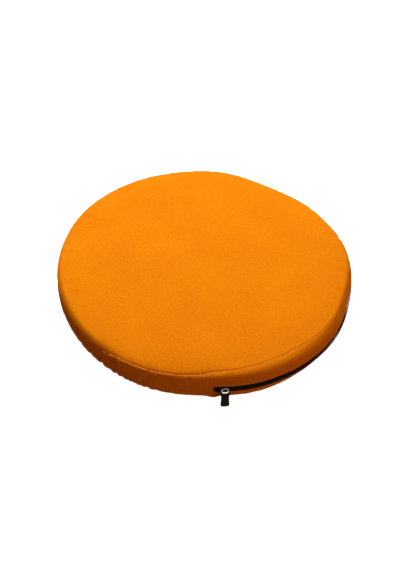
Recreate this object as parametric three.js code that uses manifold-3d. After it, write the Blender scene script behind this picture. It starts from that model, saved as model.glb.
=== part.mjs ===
// A round floor cushion: a flat, filled disc in an orange canvas cover, lying on its underside.
//
// The cover is a round top panel and a round bottom panel, joined by a side band. Over nearly half
// of the way round, the band is two strips with a black zip between them. The rest is one plain
// length, gathered and creased. The zip's pull tab hangs over the front edge and rests on the floor.
//
// Millimetres, +Z up. The origin is on the floor, under the middle of the cushion.
// Azimuths are degrees round +Z from the front (-Y), so 90 is the right-hand side (+X).

import * as THREE from "three";
import { mergeVertices } from "three/addons/utils/BufferGeometryUtils.js";
import Module from "manifold-3d";

const wasm = await Module();
wasm.setup();

// Driving dimensions.
const RADIUS = 199.4; // mean radius of the cushion
const TOP_EDGE_HEIGHT = 44.4; // height at which the top panel begins to roll down to its seam
const CROWN = 1.6; // rise of the top panel from there to its middle
const TOP_ROLL = 13; // width of the rolled edge of the top panel
const FOOT_ROLL = 6; // width of the rolled edge of the bottom panel
const FOOT_BEND = 0.3; // share of that edge, in and up, at which it bends to the floor
const SQUARENESS = 2.6; // of the side band's bulge: 2 is an ellipse, more is squarer
const CLOTH = 1.4; // thickness of the doubled canvas of the band
const TAPE = 1.0; // thickness of a zip tape
const CLEARANCE = 0.3; // between pieces that touch

// The zip.
const ZIP_START = 5.6; // azimuth of the upright seam where the zip begins
const ZIP_END = 166; // azimuth of the upright seam where it ends, at the back
const SEAM_GAP = 0.045; // degrees that each piece keeps from the middle of an upright seam
const ZIP_HEIGHT = 21.5; // height of the zip's middle, and of the band's widest place
const ZIP_OPENING = 8.4; // between the folded edges of the two strips
const TAPE_WIDTH = 10; // of each tape, from the middle of the zip
const ZIP_MARGIN = 0.5; // degrees from an upright seam to the end of the tapes
const CHANNEL_MARGIN = 0.25; // degrees from an upright seam to the full depth of their channel
const CHANNEL_SLOPE = 0.04; // share of the band over which the channel's sides slope
const COIL_WIDTH = 5.2;
const COIL_PROUD = 0.2; // how far the coils stand out past the strips

// How the outline departs from a circle, each row a wave round the rim.
const OUTLINE_WAVES = [
  { waves: 2, height: 0.18, peak: 33 },
  { waves: 3, height: 1.33, peak: 104 },
  { waves: 4, height: 0.84, peak: 14 },
  { waves: 5, height: 1.37, peak: 37 },
  { waves: 6, height: 0.43, peak: 50 },
  { waves: 7, height: 0.56, peak: 25 },
  { waves: 9, height: 0.46, peak: 18 },
  { waves: 10, height: 0.44, peak: 26 },
];

// Where the cover's round seams run. An inset is measured inward from the outline.
// The cover sits askew on its filling: on the right the band has crept up onto the top,
// and on the left the top panel rolls over the rim. Fullness is that of the panel's rolled edge:
// 1 is a parabola, 2 is a quarter of an ellipse.
const SEAMS = [
  { azimuth: -150, inset: 3.2, height: 34.0, fullness: 2.2, belly: 0.2, footInset: 9.6, footHeight: 2.4 },
  { azimuth: -90, inset: 2.9, height: 33.0, fullness: 2.2, belly: 0.2, footInset: 11.0, footHeight: 3.0 },
  { azimuth: -66, inset: 2.8, height: 33.0, fullness: 2.1, belly: 0.2, footInset: 11.0, footHeight: 3.0 },
  { azimuth: -47, inset: 3.9, height: 33.6, fullness: 1.7, belly: 0.8, footInset: 11.0, footHeight: 3.0 },
  { azimuth: -38, inset: 5.2, height: 35.6, fullness: 1.4, belly: 1.6, footInset: 10.8, footHeight: 3.0 },
  { azimuth: -30, inset: 6.6, height: 38.8, fullness: 1.2, belly: 2.4, footInset: 10.6, footHeight: 3.0 },
  { azimuth: -18, inset: 8.4, height: 39.5, fullness: 1.0, belly: 3.6, footInset: 10.4, footHeight: 3.0 },
  { azimuth: -8, inset: 9.3, height: 40.0, fullness: 1.0, belly: 4.2, footInset: 10.2, footHeight: 3.0 },
  { azimuth: 0, inset: 12.0, height: 40.5, fullness: 1.0, belly: 4.6, footInset: 10.0, footHeight: 3.0 },
  { azimuth: 6, inset: 15.0, height: 41.6, fullness: 1.0, belly: 4.8, footInset: 10.2, footHeight: 3.0 },
  { azimuth: 12, inset: 16.2, height: 42.8, fullness: 1.0, belly: 4.8, footInset: 10.0, footHeight: 3.0 },
  { azimuth: 28, inset: 18.8, height: 43.4, fullness: 1.0, belly: 4.4, footInset: 10.4, footHeight: 3.2 },
  { azimuth: 38, inset: 16.8, height: 43.4, fullness: 1.0, belly: 2.4, footInset: 10.6, footHeight: 3.4 },
  { azimuth: 50, inset: 12.8, height: 42.8, fullness: 1.0, belly: 0.8, footInset: 10.8, footHeight: 3.6 },
  { azimuth: 66, inset: 10.4, height: 42.2, fullness: 1.0, belly: 0.8, footInset: 9.6, footHeight: 3.0 },
  { azimuth: 84, inset: 10.2, height: 42.0, fullness: 1.2, belly: 0.4, footInset: 9.6, footHeight: 3.0 },
  { azimuth: 98, inset: 6.6, height: 40.6, fullness: 1.6, belly: 0.3, footInset: 9.6, footHeight: 2.6 },
  { azimuth: 120, inset: 5.0, height: 38.4, fullness: 2.0, belly: 0.3, footInset: 9.6, footHeight: 2.4 },
  { azimuth: 160, inset: 4.2, height: 36.8, fullness: 2.2, belly: 0.3, footInset: 9.6, footHeight: 2.4 },
];

// The creases of the plain band: troughs that run down it, deepest at the seam or at the foot.
// The last is a bump instead, where the upright seam ends at the foot.
// An azimuth is where the crease leaves the top seam, and lean is how far it drifts by the foot.
const CREASES = [
  { azimuth: -63.5, lean: -1.5, width: 1.3, seamDepth: 0.6, footDepth: 1.4 },
  { azimuth: -51, lean: 1.0, width: 1.2, seamDepth: 1.2, footDepth: 0.8 },
  { azimuth: -37.7, lean: -0.6, width: 1.0, seamDepth: 1.4, footDepth: 0.9 },
  { azimuth: -31, lean: 0.0, width: 1.1, seamDepth: 1.4, footDepth: 1.5 },
  { azimuth: -26.6, lean: 0.8, width: 0.9, seamDepth: 1.2, footDepth: 1.5 },
  { azimuth: -21.6, lean: -1.6, width: 0.9, seamDepth: 0.3, footDepth: 1.4 },
  { azimuth: -18, lean: 0.0, width: 0.9, seamDepth: 1.5, footDepth: 0.8 },
  { azimuth: -3, lean: 0.4, width: 0.9, seamDepth: 1.1, footDepth: 0.1 },
  { azimuth: 1.2, lean: 0.6, width: 0.8, seamDepth: 1.0, footDepth: 0.1 },
  { azimuth: 5.2, lean: 0.2, width: 1.6, seamDepth: 0.0, footDepth: -1.6 },
];
const CREASE_DIP = 0.3; // share of a crease's depth by which it dips the seam itself
const CREASE_FADE = 4; // how abruptly a crease ends at the seam: more is more abrupt

// The slider and its pull, in a frame of their own: x along the zip, y up the wall, z outward.
const PULL_AZIMUTH = 9.2;
const SLIDER_LENGTH = 12.4;
const SLIDER_WIDTH = 8.6;
const SLIDER_THICKNESS = 1.2;
const SLIDER_CORNER = 3.2;
const HOOK_WIDTH = 2.6; // the hook on the slider that carries the eyelet
const HOOK_THICKNESS = 1.3; // of its arm, which runs through the eyelet
const LIP_THICKNESS = 0.9; // of its turned-up lip in front of the eyelet
const LIP_HEIGHT = 3.0;
const EYELET_WIDTH = 7.8; // opening of the eyelet
const EYELET_HEIGHT = 5.6;
const EYELET_RIM = 0.7;
const EYELET_DEPTH = 2.0;
const EYELET_RISE = 1.0; // of the eyelet's middle above the middle of the zip
const PULL_LEAN = 11.5; // degrees by which the tab leans out to reach the floor
const TAB_THICKNESS = 1.6;
const TAB_HEAD_WIDTH = 11.6;
const TAB_HEAD_TOP = 4.9; // height of the head above the eyelet's middle
const TAB_NECK_WIDTH = 9.0;
const TAB_NECK_DROP = 11; // of the narrowest place below the eyelet's middle
const TAB_NECK_PULL = 6; // how far below the eyelet the sides begin to draw in to the neck
const TAB_ROUNDNESS = 0.7; // of the head's and the foot's curves: more is squarer
const TAB_TIP_WIDTH = 10.4;
const TAB_TIP_DROP = 18.8; // of the widest place near the tip

// Steps of the meshes.
const STATION_STEP = 4; // degrees between sections round the rim
const BAND_STEPS = 5; // points from the band's widest place to a round seam
const ROLL_STEPS = 4; // points on a panel's rolled edge
const ROLL_CROWDING = 1.6; // how much closer those points stand toward the seam
const TOP_RINGS = [0.86, 0.62, 0.34]; // of the top panel, as shares of its radius
const CREASE_STATIONS = [-1.7, -0.8, 0, 0.8, 1.7]; // sections at each crease, in widths from its middle

const CANVAS = { color: 0xee820c, roughness: 0.85, metalness: 0 };
const BLACK_NYLON = { color: 0x0c0b0b, roughness: 0.6, metalness: 0 };
const BLACK_ENAMEL = { color: 0x0a0a0a, roughness: 0.3, metalness: 0.2 };
const NICKEL = { color: 0xd8d5d2, roughness: 0.25, metalness: 1 };

const group = new THREE.Group();

// Smallest turn from one azimuth to another, in degrees.
function turn(from, to) {
  return ((((to - from) % 360) + 540) % 360) - 180;
}

function outlineRadius(azimuth) {
  let radius = RADIUS;
  for (const wave of OUTLINE_WAVES) {
    const phase = THREE.MathUtils.degToRad(wave.waves * (azimuth - wave.peak));
    radius += wave.height * Math.cos(phase);
  }
  return radius;
}

// A column of the seam table at any azimuth, by smooth steps between its rows.
function seamValue(azimuth, column) {
  const rows = SEAMS.length;
  const past = SEAMS.map((row) => (turn(row.azimuth, azimuth) + 360) % 360);
  const from = past.indexOf(Math.min(...past));
  const row = (offset) => SEAMS[(from + offset + rows) % rows];
  const span = (offset) => turn(row(offset).azimuth, row(offset + 1).azimuth);
  const slope = (offset) => (row(offset + 1)[column] - row(offset)[column]) / span(offset);
  const tangent = (before, after) => (before * after <= 0 ? 0 : (2 * before * after) / (before + after));
  const share = turn(row(0).azimuth, azimuth) / span(0);
  const startTangent = tangent(slope(-1), slope(0)) * span(0);
  const endTangent = tangent(slope(0), slope(1)) * span(0);
  const square = share * share;
  const cube = square * share;
  return (
    (2 * cube - 3 * square + 1) * row(0)[column] +
    (cube - 2 * square + share) * startTangent +
    (3 * square - 2 * cube) * row(1)[column] +
    (cube - square) * endTangent
  );
}

function onRim(azimuth, inset, height) {
  const angle = THREE.MathUtils.degToRad(azimuth);
  const radius = outlineRadius(azimuth) - inset;
  return new THREE.Vector3(radius * Math.sin(angle), -radius * Math.cos(angle), height);
}

// How deep the creases are at a place on the plain band. Level is 1 at the top seam, -1 at the foot.
function creaseDepth(azimuth, level) {
  const down = (1 - level) / 2;
  let depth = 0;
  for (const crease of CREASES) {
    const away = turn(crease.azimuth + crease.lean * down, azimuth) / crease.width;
    const here = THREE.MathUtils.lerp(crease.seamDepth, crease.footDepth, down);
    depth += here * Math.exp(-away * away);
  }
  return depth;
}

// A point of the side band, some depth in from its outer face.
// Level is 1 at the top seam, 0 at the widest place and -1 at the foot seam.
function bandPoint(azimuth, level, depth) {
  const upper = level >= 0;
  const belly = seamValue(azimuth, "belly");
  const seamInset = seamValue(azimuth, upper ? "inset" : "footInset");
  const seamHeight = seamValue(azimuth, upper ? "height" : "footHeight");
  const across = seamInset - belly;
  const rise = Math.abs(seamHeight - ZIP_HEIGHT);
  const side = upper ? 1 : -1;
  const angle = (Math.abs(level) * Math.PI) / 2;
  const cosine = Math.max(Math.cos(angle), 0);
  const sine = Math.sin(angle);
  const out = across * cosine ** (2 / SQUARENESS);
  const up = rise * sine ** (2 / SQUARENESS);
  const normal = new THREE.Vector2(
    cosine ** (2 - 2 / SQUARENESS) / across,
    sine ** (2 - 2 / SQUARENESS) / rise,
  ).normalize();
  const crease = creaseDepth(azimuth, level) * (1 - Math.abs(level) ** CREASE_FADE);
  const dip = depth + CREASE_DIP * creaseDepth(azimuth, level);
  return onRim(
    azimuth,
    seamInset - out + normal.x * (depth + crease),
    ZIP_HEIGHT + side * (up - normal.y * dip),
  );
}

// The level at which the band stands at a height above or below the zip's middle.
function levelAt(azimuth, above) {
  const seamHeight = seamValue(azimuth, above >= 0 ? "height" : "footHeight");
  const share = Math.min(Math.abs(above) / Math.abs(seamHeight - ZIP_HEIGHT), 1);
  return (Math.sign(above) * Math.asin(share ** (SQUARENESS / 2)) * 2) / Math.PI;
}

function spread(from, to, steps) {
  return Array.from({ length: steps + 1 }, (_, i) => THREE.MathUtils.lerp(from, to, i / steps));
}

// The azimuths of the sections: an even step round the rim, and closer at the creases and seams.
function stationsBetween(from, to) {
  const extra = CREASES.flatMap((crease) =>
    CREASE_STATIONS.map((share) => crease.azimuth + crease.lean / 2 + share * crease.width),
  );
  for (const margin of [-SEAM_GAP, SEAM_GAP, CHANNEL_MARGIN, ZIP_MARGIN]) {
    extra.push(ZIP_START + margin, ZIP_END - margin);
  }
  const even = spread(0, 360 - STATION_STEP, 360 / STATION_STEP - 1);
  const kept = even.filter((a) => extra.every((b) => Math.abs(turn(a, b)) > STATION_STEP / 3));
  const all = [...kept, ...extra].map((a) => from + ((((a - from) % 360) + 360) % 360));
  return all.filter((a) => a >= from - 1e-9 && a <= to + 1e-9).sort((a, b) => a - b);
}

// A closed geometry from its vertices and faces, turned so that its faces point out.
function closedGeometry(points, faces) {
  let volume = 0;
  for (const [a, b, c] of faces) {
    volume += points[a].dot(new THREE.Vector3().crossVectors(points[b], points[c]));
  }
  const outward = volume > 0 ? faces : faces.map(([a, b, c]) => [a, c, b]);
  const geometry = new THREE.BufferGeometry().setFromPoints(points);
  geometry.setIndex(outward.flat());
  geometry.computeVertexNormals();
  return geometry;
}

function addMesh(name, geometry, finish) {
  const mesh = new THREE.Mesh(geometry, new THREE.MeshStandardMaterial(finish));
  mesh.name = name;
  group.add(mesh);
  return mesh;
}

// A strip of cloth: one section for each azimuth, its outer points down and its inner points back up.
function stripGeometry(azimuths, outerRow, innerRow) {
  const sections = azimuths.map((a) => [...outerRow(a), ...innerRow(a).reverse()]);
  const points = sections.flat();
  const count = sections[0].length;
  const last = (sections.length - 1) * count;
  const faces = [];
  const quad = (a, b, c, d) => faces.push([a, b, c], [a, c, d]);
  for (let s = 0; s < sections.length - 1; s += 1) {
    for (let i = 0; i < count; i += 1) {
      const here = s * count + i;
      const beside = s * count + ((i + 1) % count);
      quad(here, here + count, beside + count, beside);
    }
  }
  for (let i = 0; i < count / 2 - 1; i += 1) {
    const across = count - 1 - i;
    quad(i, i + 1, across - 1, across);
    quad(last + i, last + across, last + across - 1, last + i + 1);
  }
  return closedGeometry(points, faces);
}

function addStrip(name, azimuths, levels, outerDepth, thickness, finish) {
  const row = (depth) => (a) => levels(a).map((level) => bandPoint(a, level, depth));
  const geometry = stripGeometry(azimuths, row(outerDepth), row(outerDepth + thickness));
  return addMesh(name, geometry, finish);
}

// The top panel's height, going inward from its edge beside the seam.
function topHeight(azimuth, inward) {
  const edge = seamValue(azimuth, "height");
  const share = Math.min(inward / TOP_ROLL, 1);
  const rolled = (1 - (1 - share) ** 2) ** (1 / seamValue(azimuth, "fullness"));
  return THREE.MathUtils.lerp(edge, TOP_EDGE_HEIGHT, rolled);
}

// The filled solid's wall behind the band, with a channel for the tapes where the zip runs.
function wallSection(azimuth, wall) {
  const row = (levels, depth) => levels.map((level) => bandPoint(azimuth, level, depth));
  if (azimuth < ZIP_START + CHANNEL_MARGIN - 1e-6 || azimuth > ZIP_END - CHANNEL_MARGIN + 1e-6) {
    return row(spread(1, -1, 2 * BAND_STEPS), wall);
  }
  const behind = wall + CLEARANCE;
  const reach = TAPE_WIDTH + 2 * CLEARANCE;
  const top = levelAt(azimuth, reach);
  const foot = levelAt(azimuth, -reach);
  return [
    ...row(spread(1, top + CHANNEL_SLOPE, BAND_STEPS - 2), behind),
    ...row([top, 0, foot], wall + TAPE + CLEARANCE),
    ...row(spread(foot - CHANNEL_SLOPE, -1, BAND_STEPS - 2), behind),
  ];
}

// The filled solid's section from the middle of the top to the middle of the underside.
function cushionSection(azimuth) {
  const points = [];
  const radius = outlineRadius(azimuth);
  const seamInset = seamValue(azimuth, "inset") + CLEARANCE;
  const seamHeight = seamValue(azimuth, "height");
  const footInset = seamValue(azimuth, "footInset") + CLEARANCE;
  const footHeight = seamValue(azimuth, "footHeight");
  const flatRadius = radius - seamInset - TOP_ROLL;
  for (const share of [...TOP_RINGS].reverse()) {
    const height = TOP_EDGE_HEIGHT + CROWN * (1 - share * share);
    points.push(onRim(azimuth, radius - flatRadius * share, height));
  }
  for (const share of spread(1, 0, ROLL_STEPS)) {
    const inward = TOP_ROLL * share ** ROLL_CROWDING;
    points.push(onRim(azimuth, seamInset + inward, topHeight(azimuth, inward)));
  }
  const wall = CLOTH + CLEARANCE;
  const seamDip = wall + CREASE_DIP * creaseDepth(azimuth, 1);
  const footDip = wall + CREASE_DIP * creaseDepth(azimuth, -1);
  points.push(onRim(azimuth, seamInset, seamHeight - seamDip));
  points.push(...wallSection(azimuth, wall));
  points.push(onRim(azimuth, footInset, footHeight + footDip));
  points.push(onRim(azimuth, footInset, footHeight));
  points.push(onRim(azimuth, footInset + FOOT_ROLL * FOOT_BEND, footHeight * FOOT_BEND));
  points.push(onRim(azimuth, footInset + FOOT_ROLL, 0));
  return points;
}

function cushionGeometry() {
  const sections = stationsBetween(-180, 180 - 1e-6).map(cushionSection);
  const count = sections[0].length;
  const points = sections.flat();
  const top = points.push(new THREE.Vector3(0, 0, TOP_EDGE_HEIGHT + CROWN)) - 1;
  const bottom = points.push(new THREE.Vector3(0, 0, 0)) - 1;
  const faces = [];
  for (let s = 0; s < sections.length; s += 1) {
    const here = s * count;
    const next = ((s + 1) % sections.length) * count;
    faces.push([top, here, next]);
    faces.push([bottom, next + count - 1, here + count - 1]);
    for (let i = 0; i < count - 1; i += 1) {
      faces.push([here + i, here + i + 1, next + i + 1], [here + i, next + i + 1, next + i]);
    }
  }
  return closedGeometry(points, faces);
}

// The cover's panels round their filling, and the cloth of the band.
addMesh("cushion", cushionGeometry(), CANVAS);

const plainStations = stationsBetween(ZIP_END + SEAM_GAP - 360, ZIP_START - SEAM_GAP);
const zipStations = stationsBetween(ZIP_START + SEAM_GAP, ZIP_END - SEAM_GAP);
const tapeStations = stationsBetween(ZIP_START + ZIP_MARGIN, ZIP_END - ZIP_MARGIN);
const halfOpening = ZIP_OPENING / 2;
const whole = () => spread(1, -1, 2 * BAND_STEPS);
const aboveZip = (a) => spread(1, levelAt(a, halfOpening), BAND_STEPS);
const belowZip = (a) => spread(levelAt(a, -halfOpening), -1, BAND_STEPS);

addStrip("side_band_plain", plainStations, whole, 0, CLOTH, CANVAS);
addStrip("zip_strip_upper", zipStations, aboveZip, 0, CLOTH, CANVAS);
addStrip("zip_strip_lower", zipStations, belowZip, 0, CLOTH, CANVAS);

// The zip: two tapes behind the strips, and the closed coils in front of them.
const tapeDepth = CLOTH + CLEARANCE;
const halfGap = CLEARANCE / 2;
const upperTape = (a) => [levelAt(a, TAPE_WIDTH), levelAt(a, halfOpening), levelAt(a, halfGap)];
const lowerTape = (a) => [levelAt(a, -halfGap), levelAt(a, -halfOpening), levelAt(a, -TAPE_WIDTH)];
const coil = (a) => [levelAt(a, COIL_WIDTH / 2), 0, levelAt(a, -COIL_WIDTH / 2)];
const coilDepth = tapeDepth - CLEARANCE + COIL_PROUD;

addStrip("zip_tape_upper", tapeStations, upperTape, tapeDepth, TAPE, BLACK_NYLON);
addStrip("zip_tape_lower", tapeStations, lowerTape, tapeDepth, TAPE, BLACK_NYLON);
addStrip("zip_coil", tapeStations, coil, -COIL_PROUD, coilDepth, BLACK_NYLON);

function roundedShape(width, height, corner) {
  const shape = new THREE.Shape();
  const x = width / 2 - corner;
  const y = height / 2 - corner;
  shape.absarc(x, y, corner, 0, Math.PI / 2);
  shape.absarc(-x, y, corner, Math.PI / 2, Math.PI);
  shape.absarc(-x, -y, corner, Math.PI, 1.5 * Math.PI);
  shape.absarc(x, -y, corner, 1.5 * Math.PI, 2 * Math.PI);
  shape.closePath();
  return shape;
}

function plate(shape, depth) {
  return new THREE.ExtrudeGeometry(shape, { depth, bevelEnabled: false, curveSegments: 5 });
}

function solidOf(geometry) {
  const bare = geometry.clone();
  bare.deleteAttribute("normal");
  bare.deleteAttribute("uv");
  const merged = mergeVertices(bare, 1e-4);
  const source = { numProp: 3, vertProperties: merged.attributes.position.array };
  source.triVerts = new Uint32Array(merged.index.array);
  return new wasm.Manifold(new wasm.Mesh(source));
}

function joined(geometries) {
  const mesh = geometries.map(solidOf).reduce((sum, next) => sum.add(next)).getMesh();
  const geometry = new THREE.BufferGeometry();
  geometry.setAttribute("position", new THREE.BufferAttribute(mesh.vertProperties, 3));
  geometry.setIndex(new THREE.BufferAttribute(mesh.triVerts, 1));
  geometry.computeVertexNormals();
  return geometry;
}

// The pull's frame stands on the face of the coils and looks outward.
const pull = new THREE.Group();
pull.position.copy(bandPoint(PULL_AZIMUTH, 0, -COIL_PROUD - CLEARANCE));
pull.rotation.set(Math.PI / 2, THREE.MathUtils.degToRad(PULL_AZIMUTH), 0);
group.add(pull);

// The tab's own frame: its origin in the middle of the eyelet, leaning out by its foot.
const lean = THREE.MathUtils.degToRad(PULL_LEAN);
const eyeletTop = EYELET_HEIGHT / 2 + EYELET_RIM;
const backReach = (eyeletTop * Math.sin(lean) + EYELET_DEPTH * Math.cos(lean)) / 2;
const tab = new THREE.Group();
const tabOut = SLIDER_THICKNESS + CLEARANCE + backReach + (eyeletTop * Math.sin(lean)) / 2;
tab.position.set(0, EYELET_RISE, tabOut);
tab.rotation.x = -lean;
pull.add(tab);

function sliderGeometry() {
  const body = plate(roundedShape(SLIDER_LENGTH, SLIDER_WIDTH, SLIDER_CORNER), SLIDER_THICKNESS);
  const eyeletRoof = (EYELET_HEIGHT * Math.cos(lean) - EYELET_DEPTH * Math.sin(lean)) / 2;
  const armTop = EYELET_RISE + eyeletRoof - CLEARANCE;
  const armFoot = armTop - HOOK_THICKNESS;
  const lipBack = tabOut + EYELET_DEPTH / 2 + CLEARANCE / 2;
  const lipFront = lipBack + LIP_THICKNESS;
  const hook = new THREE.Shape();
  hook.moveTo(SLIDER_THICKNESS / 2, armFoot);
  hook.lineTo(lipFront, armFoot);
  hook.lineTo(lipFront, armTop + LIP_HEIGHT);
  hook.lineTo(lipBack, armTop + LIP_HEIGHT);
  hook.lineTo(lipBack, armTop);
  hook.lineTo(SLIDER_THICKNESS / 2, armTop);
  hook.closePath();
  const arm = plate(hook, HOOK_WIDTH);
  arm.rotateY(-Math.PI / 2);
  arm.translate(HOOK_WIDTH / 2, 0, 0);
  return joined([body, arm]);
}

function ellipse(width, height) {
  return new THREE.Path().absellipse(0, 0, width / 2, height / 2, 0, 2 * Math.PI);
}

// The length of tab below the eyelet that brings its lower edge just above the floor.
function tabDrop() {
  const eyeletHeight = ZIP_HEIGHT + EYELET_RISE;
  const edge = (TAB_THICKNESS / 2) * Math.sin(lean);
  return (eyeletHeight - CLEARANCE - edge) / Math.cos(lean);
}

function tabGeometry() {
  const head = TAB_HEAD_WIDTH / 2;
  const neck = TAB_NECK_WIDTH / 2;
  const tip = TAB_TIP_WIDTH / 2;
  const foot = -tabDrop();
  const shoulder = TAB_HEAD_TOP * TAB_ROUNDNESS;
  const crownWidth = neck * TAB_ROUNDNESS;
  const flare = -(TAB_NECK_DROP + TAB_TIP_DROP) / 2;
  const shape = new THREE.Shape();
  shape.moveTo(head, 0);
  shape.bezierCurveTo(head, shoulder, crownWidth, TAB_HEAD_TOP, 0, TAB_HEAD_TOP);
  shape.bezierCurveTo(-crownWidth, TAB_HEAD_TOP, -head, shoulder, -head, 0);
  shape.bezierCurveTo(-head, -TAB_NECK_PULL, -neck, -TAB_NECK_PULL, -neck, -TAB_NECK_DROP);
  shape.bezierCurveTo(-neck, flare, -tip, flare, -tip, -TAB_TIP_DROP);
  shape.bezierCurveTo(-tip, foot, -crownWidth, foot, 0, foot);
  shape.bezierCurveTo(crownWidth, foot, tip, foot, tip, -TAB_TIP_DROP);
  shape.bezierCurveTo(tip, flare, neck, flare, neck, -TAB_NECK_DROP);
  shape.bezierCurveTo(neck, -TAB_NECK_PULL, head, -TAB_NECK_PULL, head, 0);
  const rims = 2 * (EYELET_RIM + CLEARANCE);
  shape.holes.push(ellipse(EYELET_WIDTH + rims, EYELET_HEIGHT + rims));
  const geometry = plate(shape, TAB_THICKNESS);
  return geometry.translate(0, 0, -TAB_THICKNESS / 2);
}

function eyeletGeometry() {
  const outer = new THREE.Shape();
  const width = EYELET_WIDTH + 2 * EYELET_RIM;
  const height = EYELET_HEIGHT + 2 * EYELET_RIM;
  outer.absellipse(0, 0, width / 2, height / 2, 0, 2 * Math.PI);
  outer.holes.push(ellipse(EYELET_WIDTH, EYELET_HEIGHT));
  return plate(outer, EYELET_DEPTH).translate(0, 0, -EYELET_DEPTH / 2);
}

pull.add(addMesh("zip_slider", sliderGeometry(), BLACK_ENAMEL));
tab.add(addMesh("pull_tab", tabGeometry(), BLACK_ENAMEL));
tab.add(addMesh("pull_eyelet", eyeletGeometry(), NICKEL));

export default group;
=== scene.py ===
# %% [markdown]
# A round floor cushion in an orange canvas cover, as a lesson in cells.
#
# The cushion lies on its underside. A round top panel and a round bottom panel are joined by a side
# band, and over nearly half of the way round the band is two strips with a black zip between them.
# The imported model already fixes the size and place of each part, so the lesson starts by loading it.
# Everything is in metres, with +Z up and the origin on the floor under the cushion's middle.

# %% Load the frame
import math
from collections import namedtuple

import bmesh
import bpy
import numpy as np
from mathutils import Matrix, Vector, noise


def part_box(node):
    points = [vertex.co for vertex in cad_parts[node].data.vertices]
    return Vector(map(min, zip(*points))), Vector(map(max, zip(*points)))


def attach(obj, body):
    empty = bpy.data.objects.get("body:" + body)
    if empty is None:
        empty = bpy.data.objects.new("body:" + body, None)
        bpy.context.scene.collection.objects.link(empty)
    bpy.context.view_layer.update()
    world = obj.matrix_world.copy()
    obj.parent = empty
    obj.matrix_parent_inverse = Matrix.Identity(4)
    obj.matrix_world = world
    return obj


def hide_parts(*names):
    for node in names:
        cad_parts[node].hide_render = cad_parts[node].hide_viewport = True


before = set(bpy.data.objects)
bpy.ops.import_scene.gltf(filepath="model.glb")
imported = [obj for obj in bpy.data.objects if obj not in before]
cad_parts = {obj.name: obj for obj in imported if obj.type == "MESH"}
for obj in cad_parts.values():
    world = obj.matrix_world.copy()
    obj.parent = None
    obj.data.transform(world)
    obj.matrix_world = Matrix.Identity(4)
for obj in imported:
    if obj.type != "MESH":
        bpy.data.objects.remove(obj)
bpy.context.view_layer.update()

scene = bpy.context.scene
print("nodes in the frame:", ", ".join(sorted(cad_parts)))

# %% [markdown]
# The camera stands in front of the cushion and looks down at it. Its distance and height come from
# the ellipse that the round top draws in the picture, and the lens from the width of that ellipse.
# The photographer held the camera a little crooked, which the roll repeats, and the cushion lies a
# little off the middle of the frame, which the small shift repeats.

# %% Camera
FRAME_HEIGHT = 570  # pixels, the longer side of the picture
CAMERA_DISTANCE = 1.1
CAMERA_ELEVATION = math.radians(45.8)
CAMERA_ROLL = math.radians(3.52)
FOCAL_PIXELS = 807.6
SENSOR = 0.036
OFF_MIDDLE = (4.8, 13.1)  # pixels right of and above the middle of the frame

middle = Vector((0, 0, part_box("cushion")[1].z / 2))
camera_data = bpy.data.cameras.new("camera")
camera_data.sensor_width = SENSOR * 1000
camera_data.lens = SENSOR * 1000 * FOCAL_PIXELS / FRAME_HEIGHT
camera_data.shift_x = -OFF_MIDDLE[0] / FRAME_HEIGHT
camera_data.shift_y = -OFF_MIDDLE[1] / FRAME_HEIGHT
camera = bpy.data.objects.new("camera", camera_data)
scene.collection.objects.link(camera)
toward_camera = Vector((0, -math.cos(CAMERA_ELEVATION), math.sin(CAMERA_ELEVATION)))
look = (-toward_camera).to_track_quat("-Z", "Y").to_matrix().to_4x4()
camera.matrix_world = (
    Matrix.Translation(middle + CAMERA_DISTANCE * toward_camera)
    @ look
    @ Matrix.Rotation(CAMERA_ROLL, 4, "Z")
)
scene.camera = camera
print(f"lens {camera_data.lens:.1f} mm, {CAMERA_DISTANCE} m away")

# %% [markdown]
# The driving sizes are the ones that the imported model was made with. The cushion's outline isn't a
# true circle: a hand-filled cover bulges and draws in, so a few low waves are added to the radius.
# The seams don't run level either. The cover sits askew on its filling, so a short table says where
# the top seam and the foot seam run at each azimuth, counted in degrees from the front. Fullness is
# that of the panel's rolled edge: 1 is a parabola and 2 a quarter of an ellipse.

# %% Driving sizes
RADIUS = 0.1994
TOP_EDGE_HEIGHT = 0.0444  # where the top panel begins to roll down to its seam
CROWN = 0.0016  # rise of the top panel from there to its middle
TOP_ROLL = 0.013  # widest of the rolled edge of the top panel
FOOT_ROLL = 0.006
CLOTH = 0.0014  # the band's doubled canvas
TAPE = 0.001
CLEARANCE = 0.0003
ZIP_START = 5.6  # azimuth of the upright seam where the zip begins
ZIP_END = 166.0
ZIP_HEIGHT = 0.0215
ZIP_OPENING = 0.0106  # between the folded edges of the two strips
TAPE_WIDTH = 0.010
COIL_PROUD = 0.0002

Wave = namedtuple("Wave", "waves height peak")
OUTLINE_WAVES = [
    Wave(2, 0.00018, 33),
    Wave(3, 0.00133, 104),
    Wave(4, 0.00084, 14),
    Wave(5, 0.00137, 37),
    Wave(6, 0.00043, 50),
    Wave(7, 0.00056, 25),
    Wave(9, 0.00046, 18),
    Wave(10, 0.00044, 26),
]

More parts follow.
